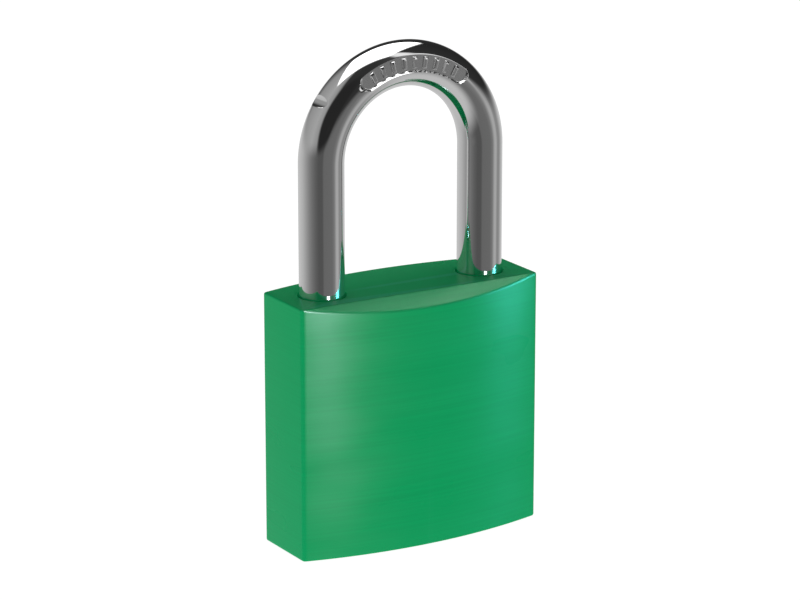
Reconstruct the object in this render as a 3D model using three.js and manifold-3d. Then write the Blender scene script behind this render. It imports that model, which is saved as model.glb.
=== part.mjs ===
// A solid-bodied padlock: anodised aluminium block, plated steel shackle, and the keyed cylinder, cam,
// locking bolts and springs inside. Millimetres, +Z up, the front face towards -Y, the origin at the
// middle of the underside. At rest the shackle is down, the cam stands open and the plug stands at home.
import * as THREE from "three";
import { mergeVertices } from "three/addons/utils/BufferGeometryUtils.js";
import Module from "manifold-3d";

const wasm = await Module();
wasm.setup();

// ---- Driving dimensions ----

// Lock body
const bodyWidth = 39;
const bodyHeight = 37;
const edgeDepth = 11; // front to back at the left and right faces
const faceBulge = 2.7; // how far the front and back stand proud of that at the middle
const frontBevelDrop = 1.7; // how far the sloping top edge comes down the middle of the front
const cornerRound = 0.6; // upright corners
const rimChamfer = 0.3; // top and bottom rims
const sideWall = 3; // metal between a leg bore and the side face
const heelBoreFloor = 3; // metal under the heel bore
const screwWeb = 2.6; // metal between the toe bore and the cylinder pocket
const channelDrop = 7.5; // from the top face down to the bolt channel's axis
const springRoom = 2.4; // height over the cam for its spring
const springHoleDepth = 0.8; // of the holes in the cam and the body that the cam spring's ends sit in
const springHoleClearance = 0.2; // round each of those ends
const mouthChamfer = 0.35; // round the mouths of the leg bores

// Shackle
const wireDiameter = 6.5;
const legClearance = 0.2; // round each leg in its bore
const bowRise = 18.8; // from the body's top to the centre of the bow's half circle
const toeBelowChannel = 4.1; // how far the toe leg runs on past the bolt channel's axis
const toeFloorGap = 0.8; // under the toe when the shackle is down
const toeOverTop = 0.6; // how far the toe clears the body's top when the shackle is up
const collarLength = 4.5; // full-diameter end of the heel leg
const tipChamfer = 0.9;

// Stamped panel on the front of the bow
const panelWidth = 2.4;
const panelDepth = 0.45;
const panelOutset = 0.5; // how far its middle line lies outside the wire's own
const panelStart = 55; // degrees round the bow, from the toe side
const panelEnd = 121;
const panelBars = 9;
const barLength = 1.44; // across the band
const barWidth = 0.56; // along the band
const barHeight = 0.3;
const nickRadius = 1;
const nickDepth = 0.55;
const nickAngle = 146;

// Locking bolts and cam
const boltRadius = 2.2;
const boltClearance = 0.1; // round each bolt in its channel
const boltEngagement = 1.2; // how far a bolt enters its leg when locked
const toeRetreat = 0.15; // how far the toe bolt stands back from its leg when open
const heelHold = 0.6; // how far the heel bolt stays in the heel neck when open
const camLockRadius = 5;
const camClearance = 0.2; // between the cam's edge and the bolts
const spindleRadius = 1.8;
const spindleHeight = 0.8;
const camDwell = 10; // degrees of full radius after each rise, and of open radius before the next
const lugInner = 1.2; // inner radius of the driving lugs on the plug and the cam
const lugInset = 0.6; // how far the lugs stand in from the plug's surface

// Springs, each by its wire's radius
const shackleSpringWire = 0.45;
const shackleSpringInset = 0.7; // how far its coil's middle lies inside the heel leg's surface
const shackleSpringTurns = 5;
const camSpringWire = 0.25;
const camSpringRadius = 3.3;
const camSpringTurns = 3;
const camSpringTang = 0.5; // how far its ends reach into the cam and the body
const pinSpringWire = 0.15;
const pinSpringInset = 0.4; // how far its coil's middle lies inside the pin's surface
const pinSpringTurns = 5;

// Cylinder
const faceInset = 0.4; // the cylinder's face stands this far up inside the body
const plugRadius = 5;
const plugClearance = 0.06; // running fit of the plug and of the spindle
const shellWall = 1.4;
const fitClearance = 0.1; // between pieces that are assembled and stay put
const flangeStep = 0.7;
const flangeHeight = 1;
const pinCount = 5;
const pinDiameter = 2.6;
const pinClearance = 0.1; // round each pin
const chamberWall = 0.6; // metal between two pin chambers
const ribWall = 0.9; // metal beside the pin chambers
const driverLength = 3.4;
const driverChamfer = 0.2;
const keyPinTaper = 0.7;
const shearGap = 0.03; // how far the key pins stand inside the plug's surface
const coverOverlap = 0.2; // how far the cover reaches past the chambers on each side
const coverThickness = 0.8;
const chamberFloorX = -2.4; // inner end of the plug's pin chambers
const pinTravels = [1.8, 3.0, 2.2, 3.4, 2.6]; // how far each pin drops when the key is drawn
const screwRadius = 1.25;
const screwChamfer = 0.4;
const screwFloor = 0.4; // metal between the screw and the last pin chamber
const socketRadius = 0.72;
const socketDepth = 1.2;
const touchGap = 0.15; // between pieces that press on each other
const pieceGap = 0.3; // between a piece and the one it rests beside
const clipThickness = 0.7;
const clipOuterStep = 1.1; // how far the clip stands out from the plug
const clipGrooveDepth = 0.8;
const clipOpening = 60; // degrees left out of the clip's ring
const clipStart = 120; // degrees, where its ring begins
const clipShoulder = 0.8; // plug metal above the clip
const keywayWidth = 1.9;
const keywayPast = 1; // how far the keyway runs past the last pin chamber
const wardDepth = 0.55;
const camTravel = 90; // degrees, of the plug and of the cam
const lugClearance = 3; // degrees between the driving faces

// ---- Sizes that follow ----

const wireRadius = wireDiameter / 2;
const legBoreRadius = wireRadius + legClearance;
const legOffset = bodyWidth / 2 - sideWall - legBoreRadius;
const legInner = legOffset - wireRadius;
const bowCentre = bodyHeight + bowRise;

const channelZ = bodyHeight - channelDrop;
const channelRadius = boltRadius + boltClearance;
const camBottom = channelZ - channelRadius - fitClearance;
const camTop = channelZ + channelRadius;
const chamberTop = camTop + springRoom;
const chamberRadius = Math.max(camLockRadius, plugRadius) + pieceGap;

const toeEnd = channelZ - toeBelowChannel;
const toeBoreFloor = toeEnd - toeFloorGap;
const shackleLift = bodyHeight - toeEnd + toeOverTop;
const boltInset = boltRadius - heelHold;
const collarTop = channelZ - Math.sqrt(boltRadius ** 2 - boltInset ** 2) - shackleLift - touchGap;
const heelEnd = collarTop - collarLength;

const boltLockedTip = legInner + boltEngagement;
const boltLength = boltLockedTip - camLockRadius - camClearance;
const toeBoltTip = legInner - legClearance - toeRetreat;
const heelBoltTip = legInner + heelHold;
const camToeRadius = toeBoltTip - boltLength - camClearance;
const camHeelRadius = heelBoltTip - boltLength - camClearance;

const shellRadius = plugRadius + plugClearance + shellWall;
const pocketRadius = shellRadius + fitClearance;
const shellTop = toeBoreFloor - screwWeb;
const clipBottom = shellTop + touchGap;
const clipTop = clipBottom + clipThickness;
const pocketTop = clipTop + pieceGap;
const plugTop = clipTop + clipShoulder;
const lugTop = camBottom - pieceGap;
const lugOuter = plugRadius - lugInset;
const lugSpan = (360 - camTravel - 2 * lugClearance) / 2;

const pinRadius = pinDiameter / 2;
const chamberBore = pinRadius + pinClearance;
const pinPitch = 2 * chamberBore + chamberWall;
const flangeRadius = plugRadius + flangeStep;
const flangeTop = faceInset + flangeHeight;
const firstPinZ = flangeTop + chamberBore + ribWall;
const lastPinZ = firstPinZ + (pinCount - 1) * pinPitch;
const ribHalf = chamberBore + ribWall;
const shellEnd = legOffset + screwRadius + chamberWall;
const coverInner = shellEnd - coverThickness - fitClearance;
const coverHalf = chamberBore + coverOverlap;
const driverInner = plugRadius + fitClearance;
const driverOuter = driverInner + driverLength;
const keyPinOuter = Math.sqrt(plugRadius ** 2 - pinRadius ** 2) - shearGap;
const screwBottom = lastPinZ + chamberBore + screwFloor;
const keywayEnd = lastPinZ + chamberBore + keywayPast;
const springHoleRadius = camSpringWire + springHoleClearance;

// ---- Geometry helpers ----

// Sides of a round piece.
const COARSE = 16;
const MEDIUM = 28;
const FINE = 40;
const WELD = 1e-4; // corners closer than this are one
const OVERRUN = 1; // how far a cutting solid runs past the face it opens
const ROOT = 0.5; // how far two joined solids reach into each other

// A closed three.js geometry as a manifold solid.
function solidOf(geometry) {
  const bare = geometry.index ? geometry.toNonIndexed() : geometry.clone();
  bare.deleteAttribute("normal");
  bare.deleteAttribute("uv");
  const merged = mergeVertices(bare, WELD);
  const triVerts = new Uint32Array(merged.index.array);
  return new wasm.Manifold(
    new wasm.Mesh({ numProp: 3, vertProperties: merged.attributes.position.array, triVerts }),
  );
}

function geometryOf(solid) {
  const mesh = solid.getMesh();
  const geometry = new THREE.BufferGeometry();
  geometry.setAttribute("position", new THREE.BufferAttribute(mesh.vertProperties, 3));
  geometry.setIndex(new THREE.BufferAttribute(mesh.triVerts, 1));
  geometry.computeVertexNormals();
  return geometry;
}

function join(base, ...others) {
  return geometryOf(others.reduce((solid, other) => solid.add(solidOf(other)), solidOf(base)));
}

function cut(base, ...tools) {
  return geometryOf(tools.reduce((solid, tool) => solid.subtract(solidOf(tool)), solidOf(base)));
}

// A profile of [radius, height] points turned round the Z axis.
function turned(profile, sides = MEDIUM) {
  const points = profile.map(([radius, height]) => new THREE.Vector2(radius, height));
  return new THREE.LatheGeometry(points, sides).rotateX(Math.PI / 2);
}

function rod(radius, from, to, sides = MEDIUM) {
  return turned([[0, from], [radius, from], [radius, to], [0, to]], sides);
}

// A rod whose flats, not its corners, lie at the radius, for cutting a bore.
function bore(radius, from, to, sides = MEDIUM) {
  return rod(radius / Math.cos(Math.PI / sides), from, to, sides);
}

function alongX(geometry) {
  return geometry.rotateY(Math.PI / 2);
}

function block([x0, x1], [y0, y1], [z0, z1]) {
  const box = new THREE.BoxGeometry(x1 - x0, y1 - y0, z1 - z0);
  return box.translate((x0 + x1) / 2, (y0 + y1) / 2, (z0 + z1) / 2);
}

function prism(shape, from, to, curveSegments = 12) {
  const settings = { depth: to - from, bevelEnabled: false, curveSegments };
  return new THREE.ExtrudeGeometry(shape, settings).translate(0, 0, from);
}

function polygon(points) {
  return new THREE.Shape(points.map(([x, y]) => new THREE.Vector2(x, y)));
}

// A ring sector between two radii, from one angle to another in degrees.
function sector(inner, outer, fromAngle, toAngle) {
  const from = THREE.MathUtils.degToRad(fromAngle);
  const to = THREE.MathUtils.degToRad(toAngle);
  const shape = new THREE.Shape();
  shape.absarc(0, 0, outer, from, to, false);
  shape.absarc(0, 0, inner, to, from, true);
  return shape;
}

function roundSection(radius, sides) {
  const points = [];
  for (let i = 0; i < sides; i += 1) {
    const angle = (2 * Math.PI * i) / sides;
    points.push([radius * Math.cos(angle), radius * Math.sin(angle)]);
  }
  return polygon(points);
}

class Helix extends THREE.Curve {
  constructor(radius, from, to, turns) {
    super();
    Object.assign(this, { radius, from, to, turns });
  }

  getPoint(t, target = new THREE.Vector3()) {
    const angle = 2 * Math.PI * this.turns * t;
    const height = THREE.MathUtils.lerp(this.from, this.to, t);
    return target.set(this.radius * Math.cos(angle), this.radius * Math.sin(angle), height);
  }
}

function wireAlong(path, wire, steps, sides = 6) {
  return new THREE.ExtrudeGeometry(roundSection(wire, sides), { steps, extrudePath: path });
}

// ---- Lock body ----

// The plan of the block: shallow arcs at the front and back, flat sides, small rounded corners.
function bodyPlan() {
  const halfWidth = bodyWidth / 2;
  const halfEdge = edgeDepth / 2;
  const arcRadius = (halfWidth ** 2 + faceBulge ** 2) / (2 * faceBulge);
  const centre = halfEdge + faceBulge - arcRadius;
  const reach = halfWidth - cornerRound;
  const halfAngle = Math.asin(reach / arcRadius);
  const up = Math.PI / 2;
  const side = halfEdge - cornerRound;
  const shape = new THREE.Shape();
  shape.moveTo(halfWidth, -side);
  shape.lineTo(halfWidth, side);
  shape.quadraticCurveTo(halfWidth, halfEdge, reach, centre + arcRadius * Math.cos(halfAngle));
  shape.absarc(0, centre, arcRadius, up - halfAngle, up + halfAngle, false);
  shape.quadraticCurveTo(-halfWidth, halfEdge, -halfWidth, side);
  shape.lineTo(-halfWidth, -side);
  shape.quadraticCurveTo(-halfWidth, -halfEdge, -reach, -centre - arcRadius * Math.cos(halfAngle));
  shape.absarc(0, -centre, arcRadius, -up - halfAngle, -up + halfAngle, false);
  shape.quadraticCurveTo(halfWidth, -halfEdge, halfWidth, -side);
  return shape;
}

function bodyBlock() {
  const slab = new THREE.ExtrudeGeometry(bodyPlan(), {
    depth: bodyHeight - 2 * rimChamfer,
    bevelThickness: rimChamfer,
    bevelSize: rimChamfer,
    bevelOffset: -rimChamfer,
    bevelSegments: 1,
    curveSegments: 14,
  });
  return slab.translate(0, 0, rimChamfer);
}

// The plane that takes the front top edge off, from the straight line between the two corners.
function frontBevelCutter() {
  const slope = frontBevelDrop / faceBulge;
  const chord = -edgeDepth / 2;
  const reach = faceBulge + OVERRUN;
  const wedge = polygon([
    [chord, bodyHeight],
    [chord - reach, bodyHeight - reach * slope],
    [chord - reach, bodyHeight + OVERRUN],
    [chord, bodyHeight + OVERRUN],
  ]);
  const end = bodyWidth / 2 + OVERRUN;
  const cutter = prism(wedge, -end, end);
  // (x, y, z) of the drawn wedge become (z, x, y) of the body.
  return cutter.applyMatrix4(new THREE.Matrix4().set(0, 0, 1, 0, 1, 0, 0, 0, 0, 1, 0, 0, 0, 0, 0, 1));
}

function legBore(x, floor) {
  const radius = legBoreRadius / Math.cos(Math.PI / FINE);
  const profile = [
    [0, floor],
    [radius, floor],
    [radius, bodyHeight - mouthChamfer],
    [radius + 2 * mouthChamfer, bodyHeight + mouthChamfer],
    [0, bodyHeight + mouthChamfer],
  ];
  return turned(profile, FINE).translate(x, 0, 0);
}

function lockBody() {
  const ribSide = ribHalf + fitClearance;
  const springHole = bore(springHoleRadius, chamberTop - OVERRUN, chamberTop + springHoleDepth, COARSE);
  const spindleEnd = chamberTop + spindleHeight + fitClearance;
  return cut(
    bodyBlock(),
    frontBevelCutter(),
    legBore(-legOffset, heelBoreFloor),
    legBore(legOffset, toeBoreFloor),
    bore(pocketRadius, -OVERRUN, pocketTop, FINE),
    block([0, shellEnd + fitClearance], [-ribSide, ribSide], [-OVERRUN, shellTop + fitClearance]),
    bore(chamberRadius, pocketTop - OVERRUN, chamberTop, FINE),
    bore(spindleRadius + plugClearance, chamberTop - OVERRUN, spindleEnd),
    springHole.translate(camSpringRadius, 0, 0),
    alongX(bore(channelRadius, -legOffset, legOffset)).translate(0, 0, channelZ),
    bore(screwRadius + fitClearance, shellTop - OVERRUN, toeBoreFloor + OVERRUN).translate(legOffset, 0, 0),
  );
}

// ---- Shackle ----

const BOW_STEPS = 30;

// Up the heel leg, round the bow and down the toe leg, with one step to each straight leg.
class ShackleLine extends THREE.Curve {
  getPoint(t, target = new THREE.Vector3()) {
    const step = t * (BOW_STEPS + 2);
    if (step < 1) {
      return target.set(-legOffset, 0, THREE.MathUtils.lerp(heelEnd, bowCentre, step));
    }
    if (step > BOW_STEPS + 1) {
      return target.set(legOffset, 0, THREE.MathUtils.lerp(bowCentre, toeEnd, step - BOW_STEPS - 1));
    }
    const angle = Math.PI * (1 - (step - 1) / BOW_STEPS);
    return target.set(legOffset * Math.cos(angle), 0, bowCentre + legOffset * Math.sin(angle));
  }

  // Equal steps of t are wanted here, not equal lengths.
  getUtoTmapping(u) {
    return u;
  }
}

// A ring that takes the chamfer off the end of a leg.
function tipCutter(x, end) {
  const inner = wireRadius - tipChamfer;
  const outer = wireRadius + OVERRUN;
  const profile = [
    [inner, end],
    [inner, end - OVERRUN],
    [outer, end - OVERRUN],
    [outer, end + outer - inner],
    [inner, end],
  ];
  return turned(profile, FINE).translate(x, 0, 0);
}

// The neck that lets the heel leg rise past its bolt, and the deeper groove the bolt locks in.
// The groove's round section runs from the leg's surface, past its core and on to the neck below.
function heelNeckCutter() {
  const neck = wireRadius - heelHold - touchGap;
  const outer = wireRadius + OVERRUN;
  const grooveCentre = wireRadius - boltEngagement + boltRadius;
  const grooveRadius = boltRadius + touchGap;
  const upper = Math.acos((grooveCentre - outer) / grooveRadius);
  const lower = -Math.acos((grooveCentre - neck) / grooveRadius);
  const steps = 12;
  const profile = [[neck, collarTop], [outer, collarTop]];
  for (let i = 0; i <= steps; i += 1) {
    const angle = THREE.MathUtils.lerp(upper, lower, i / steps);
    profile.push([
      grooveCentre - grooveRadius * Math.cos(angle),
      channelZ + grooveRadius * Math.sin(angle),
    ]);
  }
  profile.push([neck, collarTop]);
  return turned(profile, FINE).translate(-legOffset, 0, 0);
}

function toeNotchCutter() {
  const centre = boltLockedTip - boltRadius;
  const scoop = new THREE.SphereGeometry(boltRadius + touchGap, MEDIUM, COARSE);
  return scoop.translate(centre, 0, channelZ);
}

// Where something sits on the bow: so many degrees round, so far from the bow's centre.
function onBow(geometry, angle, distance) {
  const turn = THREE.MathUtils.degToRad(angle);
  geometry.rotateY(-turn);
  return geometry.translate(distance * Math.cos(turn), 0, bowCentre + distance * Math.sin(turn));
}

// The stamped panel: a round-ended sunk band along the bow, with plain raised bars left in it.
function panelCutter() {
  const middle = legOffset + panelOutset;
  const floor = -wireRadius + panelDepth;
  const thickness = panelDepth + OVERRUN;
  const half = panelWidth / 2;
  const band = prism(sector(middle - half, middle + half, panelStart, panelEnd), 0, thickness, MEDIUM);
  // The band is drawn in X and Y; its plane becomes X and Z, its thickness runs back along Y.
  band.applyMatrix4(new THREE.Matrix4().set(1, 0, 0, 0, 0, 0, -1, floor, 0, 1, 0, 0, 0, 0, 0, 1));
  band.translate(0, 0, bowCentre);
  const ends = [panelStart, panelEnd].map((angle) => {
    const end = new THREE.CylinderGeometry(half, half, thickness, COARSE);
    return onBow(end.translate(0, floor - thickness / 2, 0), angle, middle);
  });
  const bars = [];
  for (let i = 0; i < panelBars; i += 1) {
    const angle = THREE.MathUtils.lerp(panelStart, panelEnd, (i + 0.5) / panelBars);
    const across = [-barLength / 2, barLength / 2];
    const bar = block(across, [floor - barHeight, floor + OVERRUN], [-barWidth / 2, barWidth / 2]);
    bars.push(onBow(bar, angle, middle));
  }
  return cut(join(band, ...ends), ...bars);
}

function nickCutter() {
  const scoop = new THREE.CylinderGeometry(nickRadius, nickRadius, 2 * wireDiameter, MEDIUM);
  return onBow(scoop, nickAngle, legOffset + wireRadius + nickRadius - nickDepth);
}

function shackle() {
  const wire = wireAlong(new ShackleLine(), wireRadius, BOW_STEPS + 2, MEDIUM);
  return cut(
    wire,
    heelNeckCutter(),
    tipCutter(-legOffset, heelEnd),
    tipCutter(legOffset, toeEnd),
    toeNotchCutter(),
    panelCutter(),
    nickCutter(),
  );
}

// ---- Springs ----

function shackleSpring() {
  const from = heelBoreFloor + touchGap + shackleSpringWire;
  const to = heelEnd - touchGap - shackleSpringWire;
  const helix = new Helix(wireRadius - shackleSpringInset, from, to, shackleSpringTurns);
  return wireAlong(helix, shackleSpringWire, 14 * shackleSpringTurns).translate(-legOffset, 0, 0);
}

// A coil over the cam, with one end turned down into the cam and the other up into the body.
function camSpring() {
  const low = camTop + touchGap + camSpringWire;
  const high = chamberTop - touchGap - camSpringWire;
  const helix = new Helix(camSpringRadius, low, high, camSpringTurns);
  const tangs = [
    rod(camSpringWire, camTop - camSpringTang, low, COARSE),
    rod(camSpringWire, high, chamberTop + camSpringTang, COARSE),
  ];
  const coil = wireAlong(helix, camSpringWire, 20 * camSpringTurns);
  return join(coil, ...tangs.map((tang) => tang.translate(camSpringRadius, 0, 0)));
}

function pinSpring(z) {
  const from = driverOuter + touchGap + pinSpringWire;
  const to = coverInner - touchGap - pinSpringWire;
  const helix = new Helix(pinRadius - pinSpringInset, from, to, pinSpringTurns);
  return alongX(wireAlong(helix, pinSpringWire, 10 * pinSpringTurns, 5)).translate(0, 0, z);
}

// ---- Cam and locking bolts ----

// The cam's radius at an angle round it. Past each bolt it rises from open to locked over the cam's travel,
// and falls back to meet the next rise.
function camRadius(angle) {
  const { lerp, smoothstep } = THREE.MathUtils;
  const past = angle % 180;
  const [open, nextOpen] = angle < 180 ? [camToeRadius, camHeelRadius] : [camHeelRadius, camToeRadius];
  if (past < camTravel) {
    return lerp(open, camLockRadius, past / camTravel);
  }
  return lerp(camLockRadius, nextOpen, smoothstep(past, camTravel + camDwell, 180 - camDwell));
}

function cam() {
  const outline = [];
  for (let angle = 0; angle < 360; angle += 5) {
    const turn = THREE.MathUtils.degToRad(angle);
    outline.push([camRadius(angle) * Math.cos(turn), camRadius(angle) * Math.sin(turn)]);
  }
  const lugStart = lugSpan + camTravel + lugClearance;
  const lug = sector(lugInner, lugOuter, lugStart, lugStart + lugSpan);
  const springHole = bore(springHoleRadius, camTop - springHoleDepth, camTop + OVERRUN, COARSE);
  // The lug reaches into the cam by less than the room under the bolts, so that it passes below them.
  const body = join(
    prism(polygon(outline), camBottom, camTop),
    rod(spindleRadius, camTop - ROOT, chamberTop + spindleHeight),
    prism(lug, plugTop + pieceGap, camBottom + fitClearance, 20),
  );
  return cut(body, springHole.translate(camSpringRadius, 0, 0));
}

// A round-ended bolt lying along X, with its outer tip at a given distance and on a given side.
function lockingBolt(tip, side) {
  const steps = 6;
  const quarter = [];
  for (let i = 0; i <= steps; i += 1) {
    const angle = (Math.PI / 2) * (i / steps);
    quarter.push([boltRadius * Math.sin(angle), boltRadius * (1 - Math.cos(angle))]);
  }
  const otherEnd = quarter.map(([radius, along]) => [radius, boltLength - along]).reverse();
  const bolt = turned([...quarter, ...otherEnd], 24);
  bolt.translate(0, 0, tip - boltLength);
  bolt.rotateY((side * Math.PI) / 2);
  return bolt.translate(0, 0, channelZ);
}

// ---- Cylinder ----

function pinZ(index) {
  return firstPinZ + index * pinPitch;
}

function chambers(from, to) {
  const tools = [];
  for (let i = 0; i < pinCount; i += 1) {
    tools.push(alongX(bore(chamberBore, from, to, COARSE)).translate(0, 0, pinZ(i)));
  }
  return tools;
}

function cylinderShell() {
  const coverBottom = firstPinZ - coverHalf;
  const coverTop = lastPinZ + coverHalf;
  const body = join(
    rod(shellRadius, faceInset, shellTop, FINE),
    block([0, shellEnd], [-ribHalf, ribHalf], [faceInset, shellTop]),
  );
  return cut(
    body,
    bore(plugRadius + plugClearance, 0, shellTop + OVERRUN, FINE),
    bore(flangeRadius + plugClearance, 0, flangeTop + fitClearance, FINE),
    ...chambers(0, coverInner + ROOT),
    block([coverInner, shellEnd + OVERRUN], [-coverHalf, coverHalf], [coverBottom, coverTop]),
    bore(screwRadius + fitClearance, screwBottom - fitClearance, shellTop + OVERRUN).translate(legOffset, 0, 0),
  );
}

function chamberCover() {
  const inner = coverInner + fitClearance / 2;
  const half = coverHalf - fitClearance;
  const bottom = firstPinZ - half;
  const top = lastPinZ + half;
  return block([inner, inner + coverThickness], [-half, half], [bottom, top]);
}

// The keyway's outline: a slot with one ward in the middle of a side and one at each end of the other.
function keyway() {
  const side = keywayWidth / 2;
  const ward = side - wardDepth;
  const slant = 0.08 * plugRadius;
  const [back, front] = [-0.86 * plugRadius, 0.6 * plugRadius];
  const [wardFrom, wardTo] = [-0.5 * plugRadius, -0.18 * plugRadius];
  const [openFrom, openTo] = [-0.32 * plugRadius, 0.16 * plugRadius];
  return polygon([
    [back, -side],
    [wardFrom - slant, -side],
    [wardFrom, -ward],
    [wardTo, -ward],
    [wardTo + slant, -side],
    [front, -side],
    [front, ward],
    [openTo + slant, ward],
    [openTo, side],
    [openFrom, side],
    [openFrom - slant, ward],
    [back, ward],
  ]);
}

function cylinderPlug() {
  const groove = plugRadius - clipGrooveDepth;
  const body = turned([
    [0, faceInset],
    [flangeRadius, faceInset],
    [flangeRadius, flangeTop],
    [plugRadius, flangeTop],
    [plugRadius, clipBottom - fitClearance],
    [groove, clipBottom - fitClearance],
    [groove, clipTop + fitClearance],
    [plugRadius, clipTop + fitClearance],
    [plugRadius, plugTop],
    [0, plugTop],
  ], FINE);
  const lug = prism(sector(lugInner, lugOuter, 0, lugSpan), plugTop - ROOT, lugTop, 20);
  const slot = prism(keyway(), 0, keywayEnd);
  return cut(join(body, lug), slot, ...chambers(chamberFloorX, plugRadius + OVERRUN));
}

function plugClip() {
  const inner = plugRadius - clipGrooveDepth + fitClearance;
  const outer = plugRadius + clipOuterStep;
  const end = clipStart + 360 - clipOpening;
  return prism(sector(inner, outer, clipStart, end), clipBottom, clipTop, MEDIUM);
}

// A set screw with a socket in its top.
function cylinderScrew() {
  const top = toeBoreFloor - fitClearance;
  const body = turned([
    [0, screwBottom],
    [screwRadius - screwChamfer, screwBottom],
    [screwRadius, screwBottom + screwChamfer],
    [screwRadius, top],
    [0, top],
  ], 24);
  const socket = rod(socketRadius, top - socketDepth, top + OVERRUN, 6);
  return cut(body, socket).translate(legOffset, 0, 0);
}

// A pin along X: flat with a small chamfer at its outer end, and tapered at its inner end.
function pin(inner, outer, taper, z) {
  const profile = [
    [0, inner],
    [pinRadius - taper, inner],
    [pinRadius, inner + taper],
    [pinRadius, outer],
    [0, outer],
  ];
  return alongX(turned(profile, COARSE)).translate(0, 0, z);
}

// ---- Materials and assembly ----

function finish(color, metalness, roughness) {
  return () => new THREE.MeshStandardMaterial({ color, metalness, roughness });
}

const greenAnodised = finish(0x177a45, 0.85, 0.38);
const platedSteel = finish(0xd9dcde, 1, 0.08);
const brass = finish(0xb8954a, 0.9, 0.35);
const springSteel = finish(0x9a9da1, 0.9, 0.3);
const hardSteel = finish(0x83868a, 0.9, 0.35);

const padlock = new THREE.Group();

function add(name, geometry, material) {
  const mesh = new THREE.Mesh(geometry, material());
  mesh.name = name;
  padlock.add(mesh);
}

add("lock_body", lockBody(), greenAnodised);
add("shackle", shackle(), platedSteel);
add("shackle_spring", shackleSpring(), springSteel);
add("cam", cam(), hardSteel);
add("cam_spring", camSpring(), springSteel);
add("toe_locking_bolt", lockingBolt(toeBoltTip, 1), hardSteel);
add("heel_locking_bolt", lockingBolt(heelBoltTip, -1), hardSteel);
add("cylinder_shell", cylinderShell(), brass);
add("chamber_cover", chamberCover(), brass);
add("cylinder_plug", cylinderPlug(), brass);
add("plug_clip", plugClip(), springSteel);
add("cylinder_screw", cylinderScrew(), hardSteel);
for (let i = 0; i < pinCount; i += 1) {
  const number = i + 1;
  const keyPinInner = chamberFloorX + fitClearance + pinTravels[i];
  add(`key_pin_${number}`, pin(keyPinInner, keyPinOuter, keyPinTaper, pinZ(i)), brass);
  add(`driver_pin_${number}`, pin(driverInner, driverOuter, driverChamfer, pinZ(i)), hardSteel);
  add(`pin_spring_${number}`, pinSpring(pinZ(i)), springSteel);
}

export default padlock;
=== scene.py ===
import math

import bmesh
import bpy
from mathutils import Matrix, Vector, geometry


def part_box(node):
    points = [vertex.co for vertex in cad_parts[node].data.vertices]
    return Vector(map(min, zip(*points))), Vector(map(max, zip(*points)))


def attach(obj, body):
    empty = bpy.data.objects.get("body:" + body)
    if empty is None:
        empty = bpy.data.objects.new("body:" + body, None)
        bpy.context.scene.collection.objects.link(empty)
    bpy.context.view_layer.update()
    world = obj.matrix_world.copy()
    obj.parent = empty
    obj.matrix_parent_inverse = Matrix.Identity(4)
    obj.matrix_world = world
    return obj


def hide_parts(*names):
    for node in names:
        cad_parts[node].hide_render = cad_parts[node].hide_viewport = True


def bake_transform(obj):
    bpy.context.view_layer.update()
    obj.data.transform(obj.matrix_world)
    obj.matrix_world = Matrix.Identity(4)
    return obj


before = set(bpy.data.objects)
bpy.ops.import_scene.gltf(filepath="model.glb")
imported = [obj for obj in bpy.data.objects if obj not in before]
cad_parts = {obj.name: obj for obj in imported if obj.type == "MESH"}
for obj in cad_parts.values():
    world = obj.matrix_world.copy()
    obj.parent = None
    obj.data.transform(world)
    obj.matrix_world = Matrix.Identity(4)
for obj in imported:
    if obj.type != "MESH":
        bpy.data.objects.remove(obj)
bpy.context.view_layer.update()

# A solid-bodied padlock. Shapes are drawn in millimetres and scaled to metres when they are placed.
MM = 0.001

# Clearances, and how far a cutting shape runs past what it cuts
FIT = 0.1                     # between pieces that are assembled and stay put
TURNING_FIT = 0.06            # round what turns
PAST = 1

# ---- Sizes, read from the frame where it has them ----


def box_mm(node):
    low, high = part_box(node)
    return low / MM, high / MM


BODY_LOW, BODY_HIGH = box_mm("lock_body")
SHACKLE_LOW, SHACKLE_HIGH = box_mm("shackle")
SHELL_LOW, SHELL_HIGH = box_mm("cylinder_shell")
PLUG_LOW, PLUG_HIGH = box_mm("cylinder_plug")
CLIP_LOW, CLIP_HIGH = box_mm("plug_clip")
COVER_LOW, COVER_HIGH = box_mm("chamber_cover")
SCREW_LOW, SCREW_HIGH = box_mm("cylinder_screw")
CAM_LOW, CAM_HIGH = box_mm("cam")
TOE_BOLT_LOW, TOE_BOLT_HIGH = box_mm("toe_locking_bolt")
HEEL_BOLT_LOW, HEEL_BOLT_HIGH = box_mm("heel_locking_bolt")
HEEL_SPRING_LOW, HEEL_SPRING_HIGH = box_mm("shackle_spring")
_, CAM_SPRING_HIGH = box_mm("cam_spring")
PIN_COUNT = 5
PINS = [box_mm(f"key_pin_{number}") for number in range(1, PIN_COUNT + 1)]
DRIVERS = [box_mm(f"driver_pin_{number}") for number in range(1, PIN_COUNT + 1)]
PIN_HEIGHTS = [(low.z + high.z) / 2 for low, high in PINS]

# Lock body
TOP = BODY_HIGH.z
HALF_WIDTH = BODY_HIGH.x
HALF_DEPTH = BODY_HIGH.y
HALF_EDGE = 5.5               # half the depth at the left and right faces
SLOPE_DROP = 1.7              # how far the sloping front edge comes down at the middle
SLOPE_SOFT = 0.14             # half the width over which the top turns into the slope
CORNER = 0.6                  # round of the upright corners
RIM = 0.28                    # round of the top and bottom rims
LIP = 0.22                    # round of the leg bores' mouths
POCKET_FLARE = 0.2            # flare of the cylinder pocket's mouth

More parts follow.
